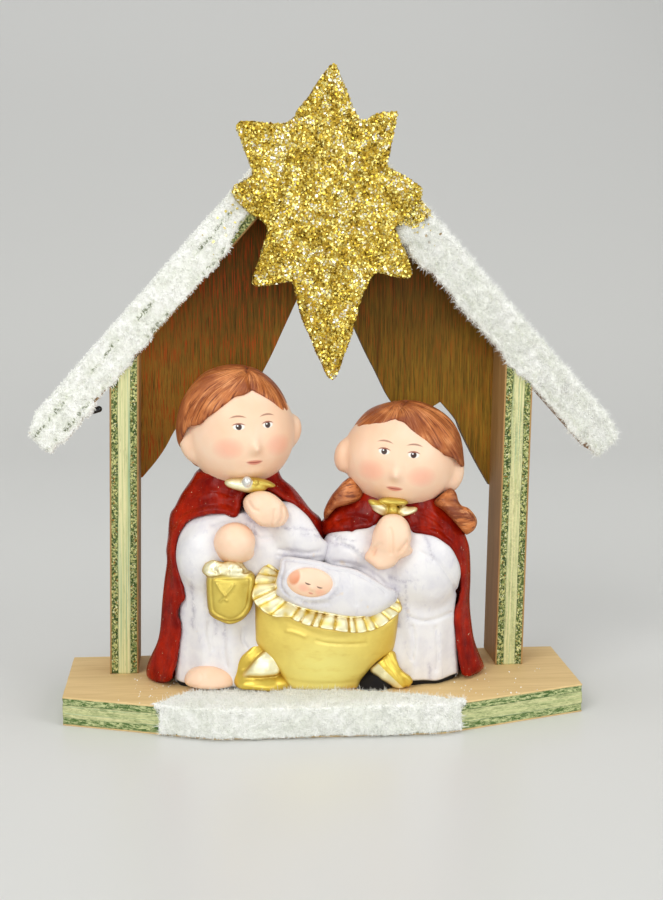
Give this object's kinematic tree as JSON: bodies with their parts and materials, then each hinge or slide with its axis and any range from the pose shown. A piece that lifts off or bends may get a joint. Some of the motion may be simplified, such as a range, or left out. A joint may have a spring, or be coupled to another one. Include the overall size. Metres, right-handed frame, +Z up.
{
  "type": "nativity scene",
  "caption": "Painted stoneware family group with a cradle in an open plywood stable with a flocked roof and a glitter star.",
  "frame": {"origin": "centre of the base board's underside, on the surface that the scene stands on", "axes": "+Z up, +X to the right and -Y to the front, as the scene is looked at"},
  "size_m": [0.1036, 0.0376, 0.1103],
  "materials": {
    "plywood": "bare veneer faces, cut edges stained green over pale cores",
    "stained_panel": "thin dark stained sheet with upright grain",
    "snow_flock": "granular white flock in glue",
    "gold_glitter": "sheet covered with 0.4 mm gold glitter flakes",
    "skin_paint": "satin pale paint on fired stoneware",
    "hair_paint": "brown paint, brushed darker in the hollows and lighter on the strands",
    "cloak_paint": "satin maroon paint",
    "robe_paint": "white paint with a thin grey-violet wash in the folds",
    "gold_paint": "pale gold paint"
  },
  "bodies": {
    "root": {"base_board": "plywood", "wall_left": "plywood", "wall_right": "plywood", "roof_left": "plywood", "roof_right": "plywood", "back_panel": "stained_panel", "snow_roof_left": "snow_flock", "snow_roof_right": "snow_flock", "snow_base": "snow_flock", "star": "gold_glitter", "father_head": "skin_paint", "father_hair": "hair_paint", "father_collar": "gold_paint", "father_cloak": "cloak_paint", "father_robe": "robe_paint", "father_raised_hand": "skin_paint", "father_lantern_hand": "skin_paint", "father_foot": "skin_paint", "lantern": "gold_paint", "mother_head": "skin_paint", "mother_hair": "hair_paint", "mother_hair_lock_left": "hair_paint", "mother_hair_lock_right": "hair_paint", "mother_collar": "gold_paint", "mother_cloak": "cloak_paint", "mother_robe": "robe_paint", "mother_hands": "skin_paint", "cradle_bowl": "gold_paint", "cradle_rim": "gold_paint", "cradle_foot_left": "gold_paint", "cradle_foot_right": "gold_paint", "baby_wrap": "robe_paint", "baby_face": "skin_paint"}
  },
  "joints": []
}
